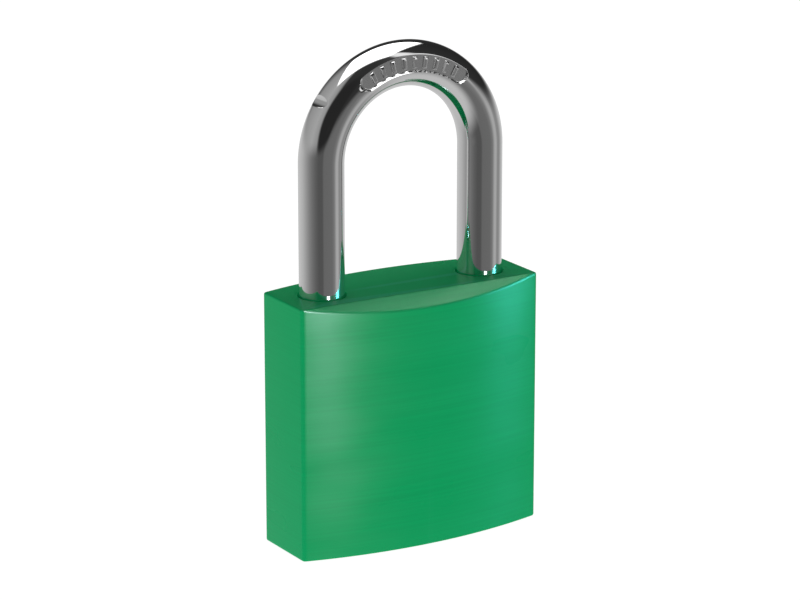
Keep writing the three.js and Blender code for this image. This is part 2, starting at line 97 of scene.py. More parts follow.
# Shackle
WIRE = SHACKLE_HIGH.y
LEG = (SCREW_LOW.x + SCREW_HIGH.x) / 2
LEG_BORE = WIRE + 0.2
BOW = SHACKLE_HIGH.z - WIRE - LEG
HEEL_END = SHACKLE_LOW.z
CHANNEL = (TOE_BOLT_LOW.z + TOE_BOLT_HIGH.z) / 2
TOE_END = CHANNEL - 4.1
TIP = 0.9                     # chamfer of both ends
COLLAR = 4.5                  # full-diameter end of the heel leg
NECK = WIRE - 0.75
BOLT = (TOE_BOLT_HIGH.z - TOE_BOLT_LOW.z) / 2
SEAT = BOLT + 0.15            # radius of the hollows the bolts lock in
SEAT_OUT = WIRE - 1.2 + BOLT  # how far their centre lies from the leg's axis

# Panel and nick on the bow, by angle from the toe side
PANEL_FROM = 55
PANEL_TO = 121
PANEL_HALF = 1.2
PANEL_DEPTH = 0.45
PANEL_OUT = 0.5               # how far its middle line lies outside the wire's own
PANEL_WALL = 0.07             # half the width of its walls
BARS = 9
BAR_HALF_LENGTH = 0.72
BAR_HALF_WIDTH = 0.28
BAR_HEIGHT = 0.3
NICK_ANGLE = 146
NICK_RADIUS = 1
NICK_DEPTH = 0.55

# Cylinder
PLUG = 5
PLUG_BORE = PLUG + TURNING_FIT
FLANGE = PLUG_HIGH.y
FLANGE_TOP = PLUG_LOW.z + 1
CHAMBER = PINS[0][1].y + 0.1
RIB_HALF = CHAMBER + 0.9
LUG_INNER = 1.2
LUG_OUTER = PLUG - 0.6
LUG_SPAN = 132                # degrees
CAM_TRAVEL = 90               # degrees
CAM_BODY_LOW = TOE_BOLT_LOW.z - 0.2
CAM_BODY_HIGH = TOE_BOLT_HIGH.z + 0.1
CAM_FULL = 5
SPINDLE = 1.8
CAM_SPRING_RADIUS = 3.3
CAM_SPRING_WIRE = 0.25
TANG = 0.5                    # how far the cam spring's ends reach into their holes
TANG_RISE = 0.4               # from the face to the first turn
SHACKLE_SPRING_WIRE = 0.45
PIN_SPRING_WIRE = 0.15
KEY_PIN_TAPER = 0.7
DRIVER_TAPER = 0.2

# The camera looks from the left and a little above, through a long lens.
VIEW_AZIMUTH = -31.02
VIEW_ELEVATION = 15.72
VIEW_DISTANCE = 484.16
VIEW_AIM = Vector((-1.67, -2.37, 35.16))
LENS = 153.66
SENSOR = 36


# ---- Mesh helpers ----


def new_piece(name, bm):
    bmesh.ops.recalc_face_normals(bm, faces=bm.faces)
    mesh = bpy.data.meshes.new(name)
    bm.to_mesh(mesh)
    bm.free()
    piece = bpy.data.objects.new(name, mesh)
    bpy.context.scene.collection.objects.link(piece)
    return piece


def skin(name, rings):
    """A solid through rings of the same number of points, closed by a cap at each end."""
    bm = bmesh.new()
    made = [[bm.verts.new(point) for point in ring] for ring in rings]
    count = len(made[0])
    for lower, upper in zip(made, made[1:]):
        for i in range(count):
            j = (i + 1) % count
            bm.faces.new((lower[i], lower[j], upper[j], upper[i]))
    bm.faces.new(reversed(made[0]))
    bm.faces.new(made[-1])
    return new_piece(name, bm)


def turned(name, profile, sides=96):
    """A profile of (radius, height) points turned round Z. Its first and last radius are 0."""
    inner = profile[1:-1]
    bm = bmesh.new()
    rings = []
    for radius, height in inner:
        ring = []
        for k in range(sides):
            angle = 2 * math.pi * k / sides
            ring.append(bm.verts.new((radius * math.cos(angle), radius * math.sin(angle), height)))
        rings.append(ring)
    for lower, upper in zip(rings, rings[1:]):
        for i in range(sides):
            j = (i + 1) % sides
            bm.faces.new((lower[i], lower[j], upper[j], upper[i]))
    for ring, (_, height) in ((rings[0], profile[0]), (rings[-1], profile[-1])):
        pole = bm.verts.new((0, 0, height))
        for i in range(sides):
            bm.faces.new((ring[i], ring[(i + 1) % sides], pole))
    return new_piece(name, bm)


def rod(name, radius, low, high, sides=96):
    return turned(name, [(0, low), (radius, low), (radius, high), (0, high)], sides)


def prism(name, outline, low, high):
    return skin(name, [[(x, y, z) for x, y in outline] for z in (low, high)])


def block(name, x, y, z):
    return prism(name, [(x[0], y[0]), (x[1], y[0]), (x[1], y[1]), (x[0], y[1])], *z)


def sector(inner, outer, start, end, steps=48):
    """The outline of part of a ring, between two angles in degrees."""
    angles = [math.radians(start + (end - start) * i / steps) for i in range(steps + 1)]
    far = [(outer * math.cos(a), outer * math.sin(a)) for a in angles]
    near = [(inner * math.cos(a), inner * math.sin(a)) for a in reversed(angles)]
    return far + near


def moved(piece, x=0, y=0, z=0):
    piece.data.transform(Matrix.Translation((x, y, z)))
    return piece


def along_x(piece):
    """What was drawn along Z lies along X."""
    piece.data.transform(Matrix.Rotation(math.pi / 2, 4, "Y"))
    return piece


def settled(piece):
    """Turns a piece's modifiers into its plain mesh."""
    bpy.context.view_layer.update()
    evaluated = piece.evaluated_get(bpy.context.evaluated_depsgraph_get())
    mesh = bpy.data.meshes.new_from_object(evaluated)
    old = piece.data
    piece.modifiers.clear()
    piece.data = mesh
    bpy.data.meshes.remove(old)
    return piece


def combined(base, tools, operation):
    for tool in tools:
        modifier = base.modifiers.new("combine", "BOOLEAN")
        modifier.operation = operation
        modifier.solver = "EXACT"
        modifier.object = tool
    settled(base)
    for tool in tools:
        mesh = tool.data
        bpy.data.objects.remove(tool)
        bpy.data.meshes.remove(mesh)
    return base


def joined(base, *tools):
    return combined(base, tools, "UNION")


def cut(base, *tools):
    return combined(base, tools, "DIFFERENCE")


def smoothed(piece, degrees=35):
    """Smooth faces, with a hard edge wherever two of them meet at more than this angle."""
    bm = bmesh.new()
    bm.from_mesh(piece.data)
    for face in bm.faces:
        face.smooth = True
    for edge in bm.edges:
        edge.smooth = len(edge.link_faces) == 2 and edge.calc_face_angle() < math.radians(degrees)
    bm.to_mesh(piece.data)
    bm.free()
    return piece


def eased(piece, width):
    """Rounds a piece's hard edges by a small width and keeps its flats flat."""
    bevel = piece.modifiers.new("edges", "BEVEL")
    bevel.width = width
    bevel.segments = 2
    bevel.limit_method = "ANGLE"
    bevel.angle_limit = math.radians(35)
    settled(piece)
    smoothed(piece, 60)
    flats = piece.modifiers.new("flats", "WEIGHTED_NORMAL")
    flats.keep_sharp = True
    return settled(piece)


def placed(piece, node, body, slot):
    """Scales a piece to metres, gives it its finish, and lets it stand for its CAD node."""
    piece.data.transform(Matrix.Scale(MM, 4))
    piece.data.materials.clear()
    piece.data.materials.append(FINISHES[slot])
    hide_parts(node)
    if body:
        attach(piece, body)
    return piece


# ---- Finishes ----

GREEN = (0.0, 0.36, 0.11)
WORN_GREEN = (0.05, 0.45, 0.25)
EDGE_GAIN = 1.2               # how much lighter a bare metal is on its edges
EDGE_STARTS = 0.52            # the sharpness from which an edge shows wear; a flat face has 0.5
NOISE_LOW = 0.3               # where most of a noise's values begin and end
NOISE_HIGH = 0.7
PANEL_ROUGHNESS = 0.2
SUNK = "sunk"                 # the mesh attribute that is 1 in the shackle's panel


def new_finish(name, color, metallic, roughness):
    material = bpy.data.materials.new(name)
    material.use_nodes = True
    shader = material.node_tree.nodes["Principled BSDF"]
    shader.inputs["Base Color"].default_value = (*color, 1)
    shader.inputs["Metallic"].default_value = metallic
    shader.inputs["Roughness"].default_value = roughness
    return material, shader


def add_node(tree, kind, **settings):
    made = tree.nodes.new(kind)
    for key, value in settings.items():
        setattr(made, key, value)
    return made


def grain(tree, scale, detail=4):
    """A noise over the object's own coordinates, stretched by a different scale along each axis."""
    place = add_node(tree, "ShaderNodeTexCoord")
    stretch = add_node(tree, "ShaderNodeMapping")
    stretch.inputs["Scale"].default_value = scale
    noise = add_node(tree, "ShaderNodeTexNoise")
    noise.inputs["Scale"].default_value = 1
    noise.inputs["Detail"].default_value = detail
    tree.links.new(place.outputs["Object"], stretch.inputs["Vector"])
    tree.links.new(stretch.outputs["Vector"], noise.inputs["Vector"])
    return noise.outputs["Fac"]


def spread(tree, value, low, high):
    """A noise's middle range stretched to run from low to high."""
    fit = add_node(tree, "ShaderNodeMapRange")
    fit.inputs["From Min"].default_value = NOISE_LOW
    fit.inputs["From Max"].default_value = NOISE_HIGH
    fit.inputs["To Min"].default_value = low
    fit.inputs["To Max"].default_value = high
    tree.links.new(value, fit.inputs["Value"])
    return fit.outputs["Result"]


def add_bump(tree, shader, value, strength, depth_mm):
    bump = add_node(tree, "ShaderNodeBump")
    bump.inputs["Strength"].default_value = strength
    bump.inputs["Distance"].default_value = depth_mm * MM
    tree.links.new(value, bump.inputs["Height"])
    tree.links.new(bump.outputs["Normal"], shader.inputs["Normal"])


def worn_color(tree, shader, color, worn, sharpest, amount):
    """The colour gives way to a lighter one on the sharpest edges."""
    shape = add_node(tree, "ShaderNodeNewGeometry")
    edge = add_node(tree, "ShaderNodeMapRange")
    edge.inputs["From Min"].default_value = EDGE_STARTS
    edge.inputs["From Max"].default_value = sharpest
    edge.inputs["To Max"].default_value = amount
    mix = add_node(tree, "ShaderNodeMix", data_type="RGBA")
    mix.inputs["A"].default_value = (*color, 1)
    mix.inputs["B"].default_value = (*worn, 1)
    tree.links.new(shape.outputs["Pointiness"], edge.inputs["Value"])
    tree.links.new(edge.outputs["Result"], mix.inputs["Factor"])
    tree.links.new(mix.outputs["Result"], shader.inputs["Base Color"])
    return mix


def green_anodised():
    """A green anodised metal, brushed from left to right."""
    material, shader = new_finish("green_anodised", GREEN, metallic=0, roughness=0.3)
    tree = material.node_tree
    # Each brushed line is long in X and Y and very thin in Z.
    lines = grain(tree, (45, 45, 4200))
    blotches = grain(tree, (60, 60, 160), detail=2)
    add_bump(tree, shader, lines, strength=0.22, depth_mm=0.006)
    tree.links.new(spread(tree, blotches, 0.26, 0.34), shader.inputs["Roughness"])
    mix = worn_color(tree, shader, GREEN, WORN_GREEN, sharpest=0.6, amount=0.4)
    shade = add_node(tree, "ShaderNodeMix", data_type="RGBA", blend_type="MULTIPLY")
    shade.inputs["Factor"].default_value = 1
    tint = add_node(tree, "ShaderNodeCombineColor")
    level = spread(tree, lines, 0.95, 1.05)
    for channel in ("Red", "Green", "Blue"):
        tree.links.new(level, tint.inputs[channel])
    tree.links.new(mix.outputs["Result"], shade.inputs["A"])
    tree.links.new(tint.outputs["Color"], shade.inputs["B"])
    tree.links.new(shade.outputs["Result"], shader.inputs["Base Color"])
    shader.inputs["Specular IOR Level"].default_value = 0.06
    # The sheen spreads across the brushing.
    shader.inputs["Anisotropic"].default_value = 0.75
    across = add_node(tree, "ShaderNodeCombineXYZ")
    across.inputs["Y"].default_value = 0.25
    across.inputs["Z"].default_value = 1
    tree.links.new(across.outputs["Vector"], shader.inputs["Tangent"])
    return material


def satin_panel(material):
    """The stamped panel is duller than the polished wire round it."""
    tree = material.node_tree
    shader = tree.nodes["Principled BSDF"]
    polish = shader.inputs["Roughness"].links[0].from_socket
    sunk = add_node(tree, "ShaderNodeAttribute", attribute_name=SUNK)
    mix = add_node(tree, "ShaderNodeMix")
    mix.inputs["B"].default_value = PANEL_ROUGHNESS
    tree.links.new(sunk.outputs["Fac"], mix.inputs["Factor"])
    tree.links.new(polish, mix.inputs["A"])
    tree.links.new(mix.outputs["Result"], shader.inputs["Roughness"])


def metal(name, color, roughness, scratch_scale, strength):
    """A bare metal with fine scratches, an uneven polish and lighter edges."""
    material, shader = new_finish(name, color, 1, roughness)
    tree = material.node_tree
    scratches = grain(tree, scratch_scale)
    tree.links.new(spread(tree, scratches, 0.75 * roughness, 1.35 * roughness), shader.inputs["Roughness"])
    add_bump(tree, shader, scratches, strength, depth_mm=0.004)
    lighter = tuple(min(1, EDGE_GAIN * channel) for channel in color)
    worn_color(tree, shader, color, lighter, sharpest=0.62, amount=0.6)
    return material


FINISHES = {
    "green_anodised": green_anodised(),
    "plated_steel": metal("plated_steel", (0.88, 0.88, 0.88), 0.05, (900, 900, 120), 0.012),
    "brass": metal("brass", (0.72, 0.50, 0.20), 0.3, (700, 700, 700), 0.1),
    "spring_steel": metal("spring_steel", (0.5, 0.51, 0.52), 0.25, (1500, 1500, 1500), 0.08),
    "hard_steel": metal("hard_steel", (0.40, 0.41, 0.42), 0.32, (1200, 1200, 300), 0.1),
}
satin_panel(FINISHES["plated_steel"])


# ---- Lock body ----


def body_outline(inset, steps=120):
    """The plan of the block, brought in by inset: shallow arcs front and back, flat sides, round corners."""
    bulge = HALF_DEPTH - HALF_EDGE
    radius = (HALF_WIDTH ** 2 + bulge ** 2) / (2 * bulge)
    centre = HALF_DEPTH - radius
    round_x = HALF_WIDTH - CORNER
    round_y = centre + math.sqrt((radius - CORNER) ** 2 - round_x ** 2)
    meet = math.atan2(round_y - centre, round_x)
    half = steps // 2
    corner_steps = 6
    quarter = []
    for i in range(half + 1):
        angle = math.pi / 2 + (meet - math.pi / 2) * i / half
        quarter.append(((radius - inset) * math.cos(angle), centre + (radius - inset) * math.sin(angle)))
    for i in range(1, corner_steps + 1):
        angle = meet * (1 - i / corner_steps)
        quarter.append((
            round_x + (CORNER - inset) * math.cos(angle),
            round_y + (CORNER - inset) * math.sin(angle),
        ))
    right = quarter + [(x, -y) for x, y in reversed(quarter)]
    left = [(-x, y) for x, y in reversed(right[1:-1])]
    return right + left


def body_top(y):
    """The height of the top at a distance y: level, then down the slope in front of the corners' chord."""
    slope = SLOPE_DROP / (HALF_DEPTH - HALF_EDGE)
    behind = y + HALF_EDGE
    if behind >= SLOPE_SOFT:
        return TOP
    if behind <= -SLOPE_SOFT:
        return TOP + slope * behind
    return TOP - slope * (SLOPE_SOFT - behind) ** 2 / (4 * SLOPE_SOFT)


def cap_top(bm, rim):
    """Fills the top inside its rim, with cuts along the chord where the slope begins."""
    flat = [Vector((vert.co.x, vert.co.y)) for vert in rim]
    edges = [(i, (i + 1) % len(rim)) for i in range(len(rim))]
    for share in (-1, -0.5, 0, 0.5, 1):
        y = share * SLOPE_SOFT - HALF_EDGE
        edges.append((len(flat), len(flat) + 1))
        flat.append(Vector((-2 * HALF_WIDTH, y)))
        flat.append(Vector((2 * HALF_WIDTH, y)))
    result = geometry.delaunay_2d_cdt(flat, edges, [list(range(len(rim)))], 1, 1e-6)
    verts, _, faces, origins, _, _ = result
    made = []
    for point, own in zip(verts, origins):
        on_rim = [i for i in own if i < len(rim)]
        made.append(rim[on_rim[0]] if on_rim else bm.verts.new((point.x, point.y, body_top(point.y))))
    for face in faces:
        bm.faces.new([made[i] for i in face])
    loose = [vert for vert in bm.verts if not vert.link_faces]
    bmesh.ops.delete(bm, geom=loose, context="VERTS")


def body_block():
    steps = 5
    rings = []
    for i in range(steps + 1):
        turn = math.pi / 2 * (1 - i / steps)
        outline = body_outline(RIM * (1 - math.cos(turn)))
        rings.append([(x, y, BODY_LOW.z + RIM * (1 - math.sin(turn))) for x, y in outline])
    for i in range(steps + 1):
        turn = math.pi / 2 * i / steps
        outline = body_outline(RIM * (1 - math.cos(turn)))
        rings.append([(x, y, body_top(y) - RIM * (1 - math.sin(turn))) for x, y in outline])
    bm = bmesh.new()
    made = [[bm.verts.new(point) for point in ring] for ring in rings]
    count = len(made[0])
    for lower, upper in zip(made, made[1:]):
        for i in range(count):
            j = (i + 1) % count
            bm.faces.new((lower[j], lower[i], upper[i], upper[j]))
    bm.faces.new(made[0])
    cap_top(bm, made[-1])
    return new_piece("body_shell", bm)


def leg_bore(x, floor):
    """A bore with a rounded mouth."""
    profile = [(0, floor), (LEG_BORE, floor)]
    for i in range(7):
        turn = math.radians(80) * i / 6
        profile.append((LEG_BORE + LIP * (1 - math.cos(turn)), TOP - LIP + LIP * math.sin(turn)))
    mouth = profile[-1][0] + LIP
    profile += [(mouth, TOP + LIP), (mouth, TOP + PAST), (0, TOP + PAST)]
    return moved(turned("leg_bore", profile, 128), x)


def body_shell():
    pocket = CLIP_HIGH.y + 0.46
    pocket_top = CLIP_HIGH.z + 0.3
    heel_floor = HEEL_SPRING_LOW.z - 0.15
    toe_floor = SCREW_HIGH.z + FIT
    chamber_top = CAM_SPRING_HIGH.z - 0.5
    mouth = BODY_LOW.z
    rib = RIB_HALF + FIT
    return smoothed(cut(
        body_block(),
        leg_bore(-LEG, heel_floor),
        leg_bore(LEG, toe_floor),
        turned("pocket", [
            (0, mouth - PAST),
            (pocket + POCKET_FLARE, mouth - PAST),
            (pocket + POCKET_FLARE, mouth),
            (pocket, mouth + POCKET_FLARE),
            (pocket, pocket_top),
            (0, pocket_top),
        ], 128),
        block("rib_slot", (0, SHELL_HIGH.x + FIT), (-rib, rib), (mouth - PAST, SHELL_HIGH.z + FIT)),
        rod("cam_chamber", CAM_FULL + 0.3, pocket_top - PAST, chamber_top),
        rod("spindle_hole", SPINDLE + TURNING_FIT, chamber_top - PAST, CAM_HIGH.z + FIT),
        moved(along_x(rod("bolt_channel", BOLT + FIT, -LEG, LEG)), z=CHANNEL),
        moved(rod("screw_hole", SCREW_HIGH.y + FIT, SHELL_HIGH.z - PAST, toe_floor + PAST), LEG),
    ), 40)


# ---- Shackle ----


def step_between(value, edge, soft):
    """0 well inside an edge and 1 well outside it."""
    share = max(0, min(1, (value - edge + soft) / (2 * soft)))
    return share * share * (3 - 2 * share)


def panel_radius(angle, turn):
    """The wire's radius round the panel sunk into the front of the bow.

    The second value is 1 inside the panel and 0 outside it.
    """
    facing = math.sin(turn)
    if facing < 0.6:
        return WIRE, 0
    floor = (WIRE - PANEL_DEPTH) / facing
    bar_top = floor + BAR_HEIGHT / facing
    middle = LEG + PANEL_OUT
    distance = LEG + floor * math.cos(turn)
    # Where this point lies from the band's middle line, and from the nearest bar's middle.
    past_end = max(PANEL_FROM - angle, angle - PANEL_TO, 0)
    from_middle = math.hypot(distance - middle, math.radians(past_end) * middle)
    pitch = (PANEL_TO - PANEL_FROM) / BARS
    share = (angle - PANEL_FROM) / pitch
    nearest = min(BARS - 1, max(0, math.floor(share)))
    from_bar = abs(math.radians((share - nearest - 0.5) * pitch)) * middle
    off_bar = max(
        step_between(from_bar, BAR_HALF_WIDTH, PANEL_WALL),
        step_between(abs(distance - middle), BAR_HALF_LENGTH, PANEL_WALL),
    )
    sunk = min(WIRE, bar_top + (floor - bar_top) * off_bar)
    outside = step_between(from_middle, PANEL_HALF, PANEL_WALL)
    return sunk + (WIRE - sunk) * outside, (1 - outside) * (sunk < WIRE)


def nick_radius(angle, turn):
    """The wire's radius where a round cutter has nicked the outside of the bow."""
    out = math.cos(turn)
    if out < 0.2:
        return WIRE
    reach = LEG + WIRE + NICK_RADIUS - NICK_DEPTH
    turned_by = math.radians(angle - NICK_ANGLE)
    # The cutter's centre as seen from the wire's middle, along the outward direction and across it.
    ahead = reach * math.cos(turned_by) - LEG
    aside = reach * math.sin(turned_by)
    inside = NICK_RADIUS ** 2 - aside ** 2
    if inside <= 0:
        return WIRE
    return min(WIRE, (ahead - math.sqrt(inside)) / out)


def notch_radius(height, turn):
    """The toe leg's radius where the bolt's seat is scooped out of its inner side."""
    inward = -math.cos(turn)
    rise = height - CHANNEL
    along = SEAT_OUT * inward
    inside = along ** 2 - (SEAT_OUT ** 2 + rise ** 2 - SEAT ** 2)
    if inward <= 0 or inside <= 0:
        return WIRE
    return min(WIRE, along - math.sqrt(inside))


def heel_profile():
    """(height, radius) up the heel leg: chamfered tip, collar, neck, and the groove the bolt locks in."""
    collar_top = HEEL_END + COLLAR
    ease = 0.12
    points = [
        (HEEL_END, WIRE - TIP),
        (HEEL_END + TIP, WIRE),
        (collar_top - ease, WIRE),
        (collar_top, WIRE - ease),
        (collar_top, NECK),
    ]
    start = -math.acos((SEAT_OUT - NECK) / SEAT)
    end = math.acos((SEAT_OUT - WIRE) / SEAT)
    steps = 24
    for i in range(steps + 1):
        angle = start + (end - start) * i / steps
        points.append((CHANNEL + SEAT * math.sin(angle), SEAT_OUT - SEAT * math.cos(angle)))
    return points


def section_turns():
    """The section's points by angle from the outward side, closer together across the front."""
    front = [math.radians(56 + 1.5 * i) for i in range(36)]
    rest = 102
    start, end = front[-1], front[0] + 2 * math.pi
    return front + [start + (end - start) * i / rest for i in range(1, rest)]


def bow_angles():
    """Angles round the bow from the heel side to the toe side, closer together at the nick and the panel."""
    angles = []
    angle = 180.0
    while angle > 0:
        angles.append(angle)
        in_panel = PANEL_FROM - 6 < angle < PANEL_TO + 6
        in_nick = abs(angle - NICK_ANGLE) < 6
        angle -= 0.25 if in_nick else 0.4 if in_panel else 2
    return angles + [0.0]


def shackle_bow():
    turns = section_turns()
    rings = []
    sunk = []

    def add_ring(centre, out, radius_at, sunk_at=lambda turn: 0):
        ring = []
        for turn in turns:
            direction = math.cos(turn) * out + math.sin(turn) * Vector((0, -1, 0))
            ring.append(centre + radius_at(turn) * direction)
            sunk.append(sunk_at(turn))
        rings.append(ring)

    left = Vector((-1, 0, 0))
    right = Vector((1, 0, 0))
    for height, radius in heel_profile():
        add_ring(Vector((-LEG, 0, height)), left, lambda turn, r=radius: r)
    for angle in bow_angles():
        a = math.radians(angle)
        out = Vector((math.cos(a), 0, math.sin(a)))
        centre = Vector((0, 0, BOW)) + LEG * out
        add_ring(
            centre,
            out,
            lambda turn, b=angle: min(panel_radius(b, turn)[0], nick_radius(b, turn)),
            lambda turn, b=angle: panel_radius(b, turn)[1],
        )
    notch_steps = 48
    for i in range(notch_steps + 1):
        height = CHANNEL + SEAT * (1 - 2 * i / notch_steps)
        add_ring(Vector((LEG, 0, height)), right, lambda turn, h=height: notch_radius(h, turn))
    add_ring(Vector((LEG, 0, TOE_END + TIP)), right, lambda turn: WIRE)
    add_ring(Vector((LEG, 0, TOE_END)), right, lambda turn: WIRE - TIP)
    bow = smoothed(skin("shackle_bow", rings), 50)
    bow.data.attributes.new(SUNK, "FLOAT", "POINT").data.foreach_set("value", sunk)
    return bow


# ---- Springs ----


def coil(name, radius, wire, low, high, turns):
    """A close wire wound round Z, from one height to another."""
    steps_per_turn = 36
    sides = 12
    rings = []
    count = round(turns * steps_per_turn)
    for i in range(count + 1):
        share = i / count
        angle = 2 * math.pi * turns * share
        out = Vector((math.cos(angle), math.sin(angle), 0))
        centre = radius * out + Vector((0, 0, low + (high - low) * share))
        ring = []
        for k in range(sides):
            turn = 2 * math.pi * k / sides
            ring.append(centre + wire * (math.cos(turn) * out + math.sin(turn) * Vector((0, 0, 1))))
        rings.append(ring)
    return smoothed(skin(name, rings), 50)


def shackle_spring():
    wire = SHACKLE_SPRING_WIRE
    radius = WIRE - 0.7
    spring = coil("shackle_coil", radius, wire, HEEL_SPRING_LOW.z + wire, HEEL_SPRING_HIGH.z - wire, 5)
    return moved(spring, -LEG)


def cam_spring():
    low = CAM_BODY_HIGH + TANG_RISE
    high = CAM_SPRING_HIGH.z - TANG - TANG_RISE
    tang_radius = 0.95 * CAM_SPRING_WIRE
    return smoothed(joined(
        coil("cam_coil", CAM_SPRING_RADIUS, CAM_SPRING_WIRE, low, high, 3),
        moved(rod("lower_tang", tang_radius, CAM_BODY_HIGH - TANG, low, 16), CAM_SPRING_RADIUS),
        moved(rod("upper_tang", tang_radius, high, high + TANG + TANG_RISE, 16), CAM_SPRING_RADIUS),
    ), 50)


def pin_spring(index):
    wire = PIN_SPRING_WIRE
    radius = CHAMBER - 0.5
    low, high = box_mm(f"pin_spring_{index + 1}")
    spring = coil(f"pin_coil_{index + 1}", radius, wire, low.x + wire, high.x - wire, 5)
    return moved(along_x(spring), z=PIN_HEIGHTS[index])


# ---- Cam and bolts ----


def cam_radius(angle, toe_open, heel_open):
    """The cam's radius: it rises past each bolt over its travel and falls back to meet the next rise."""
    past = angle % 180
    here, following = (toe_open, heel_open) if angle % 360 < 180 else (heel_open, toe_open)
    if past < CAM_TRAVEL:
        return here + (CAM_FULL - here) * past / CAM_TRAVEL
    dwell = 10
    share = max(0, min(1, (past - CAM_TRAVEL - dwell) / (180 - CAM_TRAVEL - 2 * dwell)))
    return CAM_FULL + (following - CAM_FULL) * share * share * (3 - 2 * share)


def lock_cam():
    gap = 0.2
    toe_open = TOE_BOLT_LOW.x - gap
    heel_open = -HEEL_BOLT_HIGH.x - gap
    outline = []
    for angle in range(0, 360, 2):
        radius = cam_radius(angle, toe_open, heel_open)
        turn = math.radians(angle)
        outline.append((radius * math.cos(turn), radius * math.sin(turn)))
    lug_start = LUG_SPAN + CAM_TRAVEL + 3
    lug = sector(LUG_INNER, LUG_OUTER, lug_start, lug_start + LUG_SPAN)
    return eased(cut(
        joined(
            prism("lock_cam", outline, CAM_BODY_LOW, CAM_BODY_HIGH),
            rod("spindle", SPINDLE, CAM_BODY_HIGH - 0.5, CAM_HIGH.z),
            prism("cam_lug", lug, CAM_LOW.z, CAM_BODY_LOW + FIT),
        ),
        moved(rod("spring_hole", 0.45, CAM_BODY_HIGH - 0.8, CAM_BODY_HIGH + PAST, 24), CAM_SPRING_RADIUS),
    ), 0.06)


def locking_bolt(name, low, high):
    """A bolt along X with a round at each end."""
    steps = 12
    profile = []
    for i in range(steps + 1):
        angle = math.pi / 2 * i / steps
        profile.append((BOLT * math.sin(angle), low.x + BOLT * (1 - math.cos(angle))))
    for i in range(steps, -1, -1):
        angle = math.pi / 2 * i / steps
        profile.append((BOLT * math.sin(angle), high.x - BOLT * (1 - math.cos(angle))))
    return smoothed(moved(along_x(turned(name, profile, 64)), z=CHANNEL))


# ---- Cylinder ----


def pin_chambers(start, end):
    return [
        moved(along_x(rod(f"chamber_{i}", CHAMBER, start, end, 48)), z=height)
        for i, height in enumerate(PIN_HEIGHTS)
    ]


def shell():
    low, high = SHELL_LOW.z, SHELL_HIGH.z
    radius = -SHELL_LOW.x
    cover_half = COVER_HIGH.y + FIT
    return eased(cut(
        joined(
            rod("cylinder_housing", radius, low, high, 128),
            block("rib", (0, SHELL_HIGH.x), (-RIB_HALF, RIB_HALF), (low, high)),
        ),
        rod("plug_bore", PLUG_BORE, low - PAST, high + PAST, 128),
        rod("flange_recess", FLANGE + TURNING_FIT, low - PAST, FLANGE_TOP + FIT, 128),
        *pin_chambers(0, COVER_LOW.x),
        block(
            "cover_recess",
            (COVER_LOW.x - FIT / 2, SHELL_HIGH.x + PAST),
            (-cover_half, cover_half),
            (COVER_LOW.z - FIT, COVER_HIGH.z + FIT),
        ),
        moved(rod("screw_hole", SCREW_HIGH.y + FIT, SCREW_LOW.z - FIT, high + PAST, 48), LEG),
    ), 0.08)


def keyway_outline():
    """A slot with one ward in the middle of a side and one at each end of the other."""
    side = 0.95
    ward = 0.4
    slant = 0.08 * PLUG
    back, front = -0.86 * PLUG, 0.6 * PLUG
    ward_from, ward_to = -0.5 * PLUG, -0.18 * PLUG
    open_from, open_to = -0.32 * PLUG, 0.16 * PLUG
    return [
        (back, -side), (ward_from - slant, -side), (ward_from, -ward), (ward_to, -ward),
        (ward_to + slant, -side), (front, -side), (front, ward), (open_to + slant, ward),
        (open_to, side), (open_from, side), (open_from - slant, ward), (back, ward),
    ]


def plug():
    groove = PLUG - 0.8
    top = CLIP_HIGH.z + 0.8
    body = turned("keyed_plug", [
        (0, PLUG_LOW.z),
        (FLANGE, PLUG_LOW.z),
        (FLANGE, FLANGE_TOP),
        (PLUG, FLANGE_TOP),
        (PLUG, CLIP_LOW.z - FIT),
        (groove, CLIP_LOW.z - FIT),
        (groove, CLIP_HIGH.z + FIT),
        (PLUG, CLIP_HIGH.z + FIT),
        (PLUG, top),
        (0, top),
    ], 128)
    return eased(cut(
        joined(body, prism("plug_lug", sector(LUG_INNER, LUG_OUTER, 0, LUG_SPAN), top - 0.5, PLUG_HIGH.z)),
        prism("keyway", keyway_outline(), PLUG_LOW.z - PAST, PIN_HEIGHTS[-1] + CHAMBER + 1),
        *pin_chambers(-2.4, PLUG + PAST),
    ), 0.07)


def retaining_clip():
    outer = CLIP_HIGH.y
    inner = PLUG - 0.7
    return eased(prism("retaining_clip", sector(inner, outer, 120, 420, 96), CLIP_LOW.z, CLIP_HIGH.z), 0.08)


def cover():
    x = (COVER_LOW.x, COVER_HIGH.x)
    y = (COVER_LOW.y, COVER_HIGH.y)
    return eased(block("pin_cover", x, y, (COVER_LOW.z, COVER_HIGH.z)), 0.08)


def set_screw():
    radius = SCREW_HIGH.y
    chamfer = 0.4
    body = turned("set_screw", [
        (0, SCREW_LOW.z),
        (radius - chamfer, SCREW_LOW.z),
        (radius, SCREW_LOW.z + chamfer),
        (radius, SCREW_HIGH.z),
        (0, SCREW_HIGH.z),
    ], 64)
    socket = rod("socket", 0.72, SCREW_HIGH.z - 1.2, SCREW_HIGH.z + PAST, 6)
    return moved(eased(cut(body, socket), 0.05), LEG)


def pin(name, low, high, taper):
    """A pin along X, tapered at its inner end."""
    radius = high.z - (low.z + high.z) / 2
    body = turned(name, [
        (0, low.x),
        (radius - taper, low.x),
        (radius, low.x + taper),
        (radius, high.x),
        (0, high.x),
    ], 48)
    return moved(along_x(eased(body, 0.05)), z=(low.z + high.z) / 2)


# ---- The padlock ----


def blended(piece, node, slot):
    placed(piece, node, None, slot)
    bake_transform(piece)


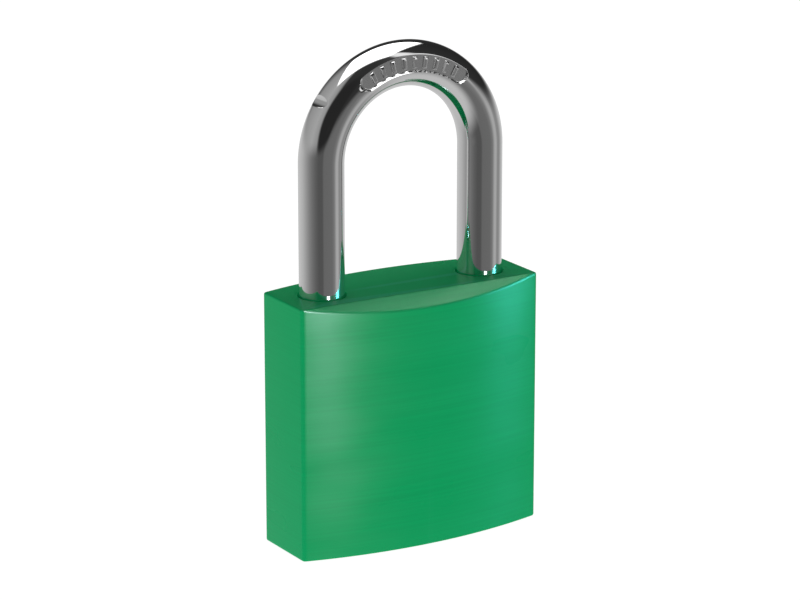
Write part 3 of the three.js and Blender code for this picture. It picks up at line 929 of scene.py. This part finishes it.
def build_padlock():
    body = placed(body_shell(), "lock_body", "lock_body", "green_anodised")
    STRIP_LIT.objects.link(body)
    bow = placed(shackle_bow(), "shackle", "shackle", "plated_steel")
    # The bright bow would throw spots of its reflected light onto the body.
    bow.visible_diffuse = False
    placed(shell(), "cylinder_shell", "lock_body", "brass")
    placed(cover(), "chamber_cover", "lock_body", "brass")
    placed(set_screw(), "cylinder_screw", "lock_body", "hard_steel")
    placed(plug(), "cylinder_plug", "plug", "brass")
    placed(retaining_clip(), "plug_clip", "plug", "spring_steel")
    placed(lock_cam(), "cam", "cam", "hard_steel")
    toe_bolt = locking_bolt("toe_bolt_piece", TOE_BOLT_LOW, TOE_BOLT_HIGH)
    placed(toe_bolt, "toe_locking_bolt", "toe_bolt", "hard_steel")
    heel_bolt = locking_bolt("heel_bolt_piece", HEEL_BOLT_LOW, HEEL_BOLT_HIGH)
    placed(heel_bolt, "heel_locking_bolt", "heel_bolt", "hard_steel")
    # The springs are attached to no body; each one's placing is baked into its mesh.
    blended(shackle_spring(), "shackle_spring", "spring_steel")
    blended(cam_spring(), "cam_spring", "spring_steel")
    for index in range(PIN_COUNT):
        number = index + 1
        key_pin = f"key_pin_{number}"
        driver = f"driver_pin_{number}"
        spring = f"pin_spring_{number}"
        placed(pin(f"key_pin_piece_{number}", *PINS[index], KEY_PIN_TAPER), key_pin, key_pin, "brass")
        placed(pin(f"driver_piece_{number}", *DRIVERS[index], DRIVER_TAPER), driver, driver, "hard_steel")
        blended(pin_spring(index), spring, "spring_steel")


# ---- Studio ----

# How light the studio's wall is at each bearing, in degrees to the right of the camera's own place.
WALL = [
    (-180, 0.62), (-140, 0.58), (-105, 0.48), (-80, 0.34), (-62, 0.24), (-45, 0.17), (-28, 0.12), (-12, 0.09),
    (6, 0.09), (14, 0.14), (55, 0.15), (68, 0.2), (82, 0.42), (92, 0.42), (99, 0.28), (112, 0.26),
    (130, 0.45), (150, 0.62), (180, 0.62),
]
# The same for what hangs above the wall.
UPPER = [
    (-180, 0.03), (-160, 0.03), (-130, 0.3), (-60, 0.4), (-30, 0.3), (-15, 0.03), (40, 0.03), (58, 0.05),
    (64, 0.9), (74, 0.9), (80, 0.03), (150, 0.02), (180, 0.03),
]
# A fade is given by where it begins and ends. Heights are the upward part of a direction of length 1.
UPPER_FADE = (-0.1, 0.15)
GROUND_LEVEL = 0.55
GROUND_FADE = (-0.45, -0.85)

# The softbox overhead, placed on a plane one unit up: to the right of the view, and away from the camera.
SOFTBOX_LEVEL = 2.6
SOFTBOX_RIGHT = -0.05
SOFTBOX_AWAY = 0.42
SOFTBOX_SIDE_FADE = (0.6, 0.5)
SOFTBOX_END_FADE = (0.78, 0.62)
SOFTBOX_UP_FADE = (0.1, 0.2)
HORIZON = 0.05                # no direction lower than this meets the softbox's plane

# The dark place behind the camera
DARK_LEVEL = 0.02
DARK_TILT = 20                # degrees above level
DARK_FADE = (0.82, 0.92)
DARK_UP_FADE = (-0.1, 0.05)

# The even light on rough surfaces, from below and from above
EVEN_LOW = 1.35
EVEN_HIGH = 0.12
EVEN_FADE = (-0.3, 0.6)

STRIP_DISTANCE = 900
FLOOR_RADIUS = 3              # metres
FLOOR_GLOW = 0.97
FLOOR_DROP = 0.05             # below the base, so that the two faces don't meet

# What the strip lights reach: they only draw the sheen on the brushed body.
STRIP_LIT = bpy.data.collections.new("strip_lit")


def make_camera():
    azimuth = math.radians(VIEW_AZIMUTH)
    elevation = math.radians(VIEW_ELEVATION)
    back = Vector((
        math.sin(azimuth) * math.cos(elevation),
        -math.cos(azimuth) * math.cos(elevation),
        math.sin(elevation),
    ))
    data = bpy.data.cameras.new("camera")
    data.sensor_width = SENSOR
    data.lens = LENS
    data.clip_start = 0.01
    data.clip_end = 10
    camera = bpy.data.objects.new("camera", data)
    camera.location = MM * (VIEW_AIM + VIEW_DISTANCE * back)
    camera.rotation_mode = "QUATERNION"
    camera.rotation_quaternion = (-back).to_track_quat("-Z", "Y")
    bpy.context.scene.collection.objects.link(camera)
    bpy.context.scene.camera = camera


def value_from(tree, operation, first, second=None):
    """The result of one arithmetic operation on numbers or sockets."""
    made = add_node(tree, "ShaderNodeMath", operation=operation)
    for slot, value in zip(made.inputs, (first, second)):
        if isinstance(value, (int, float)):
            slot.default_value = value
        elif value is not None:
            tree.links.new(value, slot)
    return made.outputs[0]


def fade(tree, value, limits):
    """0 up to the first limit and 1 from the second, with a soft change between."""
    made = add_node(tree, "ShaderNodeMapRange", interpolation_type="SMOOTHSTEP")
    made.inputs["From Min"].default_value, made.inputs["From Max"].default_value = limits
    tree.links.new(value, made.inputs["Value"])
    return made.outputs["Result"]


def between(tree, share, first, second):
    """first where share is 0, second where it is 1."""
    change = value_from(tree, "SUBTRACT", second, first)
    return value_from(tree, "ADD", first, value_from(tree, "MULTIPLY", change, share))


def level_at(tree, bearing, levels):
    """The brightness at a bearing, from a list of levels."""
    turned_by = value_from(tree, "ADD", bearing, math.pi)
    made = add_node(tree, "ShaderNodeValToRGB")
    tree.links.new(value_from(tree, "DIVIDE", turned_by, 2 * math.pi), made.inputs["Fac"])
    ramp = made.color_ramp
    ramp.elements.remove(ramp.elements[-1])
    for i, (degrees, level) in enumerate(levels):
        position = (degrees + 180) / 360
        element = ramp.elements[0] if i == 0 else ramp.elements.new(position)
        element.position = position
        element.color = (level, level, level, 1)
    return made.outputs["Color"]


def softbox_share(tree, right, away, up):
    """1 in the directions that meet the softbox overhead."""
    over = value_from(tree, "MAXIMUM", up, HORIZON)
    off_right = value_from(tree, "SUBTRACT", value_from(tree, "DIVIDE", right, over), SOFTBOX_RIGHT)
    off_away = value_from(tree, "SUBTRACT", value_from(tree, "DIVIDE", away, over), SOFTBOX_AWAY)
    across = fade(tree, value_from(tree, "ABSOLUTE", off_right), SOFTBOX_SIDE_FADE)
    along = fade(tree, value_from(tree, "ABSOLUTE", off_away), SOFTBOX_END_FADE)
    inside = value_from(tree, "MULTIPLY", across, along)
    return value_from(tree, "MULTIPLY", inside, fade(tree, up, SOFTBOX_UP_FADE))


def dark_share(tree, away, up):
    """1 in the directions of the dark place where the camera stands."""
    tilt = math.radians(DARK_TILT)
    toward = value_from(
        tree,
        "ADD",
        value_from(tree, "MULTIPLY", away, -math.cos(tilt)),
        value_from(tree, "MULTIPLY", up, math.sin(tilt)),
    )
    return value_from(tree, "MULTIPLY", fade(tree, toward, DARK_FADE), fade(tree, up, DARK_UP_FADE))


def mixed_by_ray(tree, ray, otherwise, for_ray):
    """One background for a kind of ray and another for the rest."""
    path = add_node(tree, "ShaderNodeLightPath")
    mix = add_node(tree, "ShaderNodeMixShader")
    tree.links.new(path.outputs[ray], mix.inputs["Fac"])
    tree.links.new(otherwise.outputs[0], mix.inputs[1])
    tree.links.new(for_ray.outputs[0], mix.inputs[2])
    return mix


def make_world():
    """White to the camera, an even light on rough surfaces, and a studio with a softbox to be reflected."""
    world = bpy.data.worlds.new("studio")
    bpy.context.scene.world = world
    world.use_nodes = True
    tree = world.node_tree
    tree.nodes.clear()
    where = add_node(tree, "ShaderNodeTexCoord")
    turn = add_node(tree, "ShaderNodeMapping")
    turn.inputs["Rotation"].default_value = (0, 0, math.radians(-VIEW_AZIMUTH))
    split = add_node(tree, "ShaderNodeSeparateXYZ")
    tree.links.new(where.outputs["Generated"], turn.inputs["Vector"])
    tree.links.new(turn.outputs["Vector"], split.inputs["Vector"])
    right, away, up = split.outputs
    bearing = value_from(tree, "ARCTAN2", right, value_from(tree, "MULTIPLY", away, -1))
    wall = level_at(tree, bearing, WALL)
    low_part = between(tree, fade(tree, up, GROUND_FADE), wall, GROUND_LEVEL)
    room = between(tree, fade(tree, up, UPPER_FADE), low_part, level_at(tree, bearing, UPPER))
    room = between(tree, dark_share(tree, away, up), room, DARK_LEVEL)
    lit_room = between(tree, softbox_share(tree, right, away, up), room, SOFTBOX_LEVEL)
    studio = add_node(tree, "ShaderNodeBackground")
    tree.links.new(lit_room, studio.inputs["Color"])
    even = add_node(tree, "ShaderNodeBackground")
    even_level = between(tree, fade(tree, up, EVEN_FADE), EVEN_LOW, EVEN_HIGH)
    tree.links.new(even_level, even.inputs["Color"])
    white = add_node(tree, "ShaderNodeBackground")
    white.inputs["Color"].default_value = (1, 1, 1, 1)
    lit = mixed_by_ray(tree, "Is Diffuse Ray", studio, even)
    seen = mixed_by_ray(tree, "Is Camera Ray", lit, white)
    out = add_node(tree, "ShaderNodeOutputWorld")
    tree.links.new(seen.outputs[0], out.inputs["Surface"])


def strip_light(name, azimuth, elevation, width_mm, height_mm, watts, color):
    """A soft light facing the lock. Azimuth is from the front, to the right positive."""
    a = math.radians(azimuth)
    e = math.radians(elevation)
    toward = Vector((math.sin(a) * math.cos(e), -math.cos(a) * math.cos(e), math.sin(e)))
    data = bpy.data.lights.new(name, "AREA")
    data.shape = "RECTANGLE"
    data.size = MM * width_mm
    data.size_y = MM * height_mm
    data.energy = watts
    data.color = color
    light = bpy.data.objects.new(name, data)
    light.location = MM * (Vector((0, 0, TOP / 2)) + STRIP_DISTANCE * toward)
    light.rotation_mode = "QUATERNION"
    light.rotation_quaternion = (-toward).to_track_quat("-Z", "Y")
    light.visible_diffuse = False
    light.light_linking.receiver_collection = STRIP_LIT
    bpy.context.scene.collection.objects.link(light)


def make_floor():
    bm = bmesh.new()
    bmesh.ops.create_circle(bm, cap_ends=True, radius=FLOOR_RADIUS, segments=64)
    floor = new_piece("floor", bm)
    material, shader = new_finish("floor", (0.12, 0.12, 0.12), 0, 0.9)
    shader.inputs["Specular IOR Level"].default_value = 0
    shader.inputs["Emission Color"].default_value = (1, 1, 1, 1)
    shader.inputs["Emission Strength"].default_value = FLOOR_GLOW
    floor.data.materials.append(material)
    floor.location.z = -FLOOR_DROP * MM
    floor.visible_glossy = False
    floor.visible_diffuse = False


build_padlock()
make_camera()
make_world()
strip_light("front_strip", 2, 22, width_mm=60, height_mm=500, watts=80, color=(0.8, 0.95, 1))
strip_light("right_strip", 54, 15, width_mm=120, height_mm=500, watts=42, color=(0.15, 0.92, 1))
strip_light("side_softbox", 93, 62, width_mm=300, height_mm=300, watts=6, color=(1, 1, 1))
make_floor()
bpy.context.scene.view_settings.view_transform = "Standard"
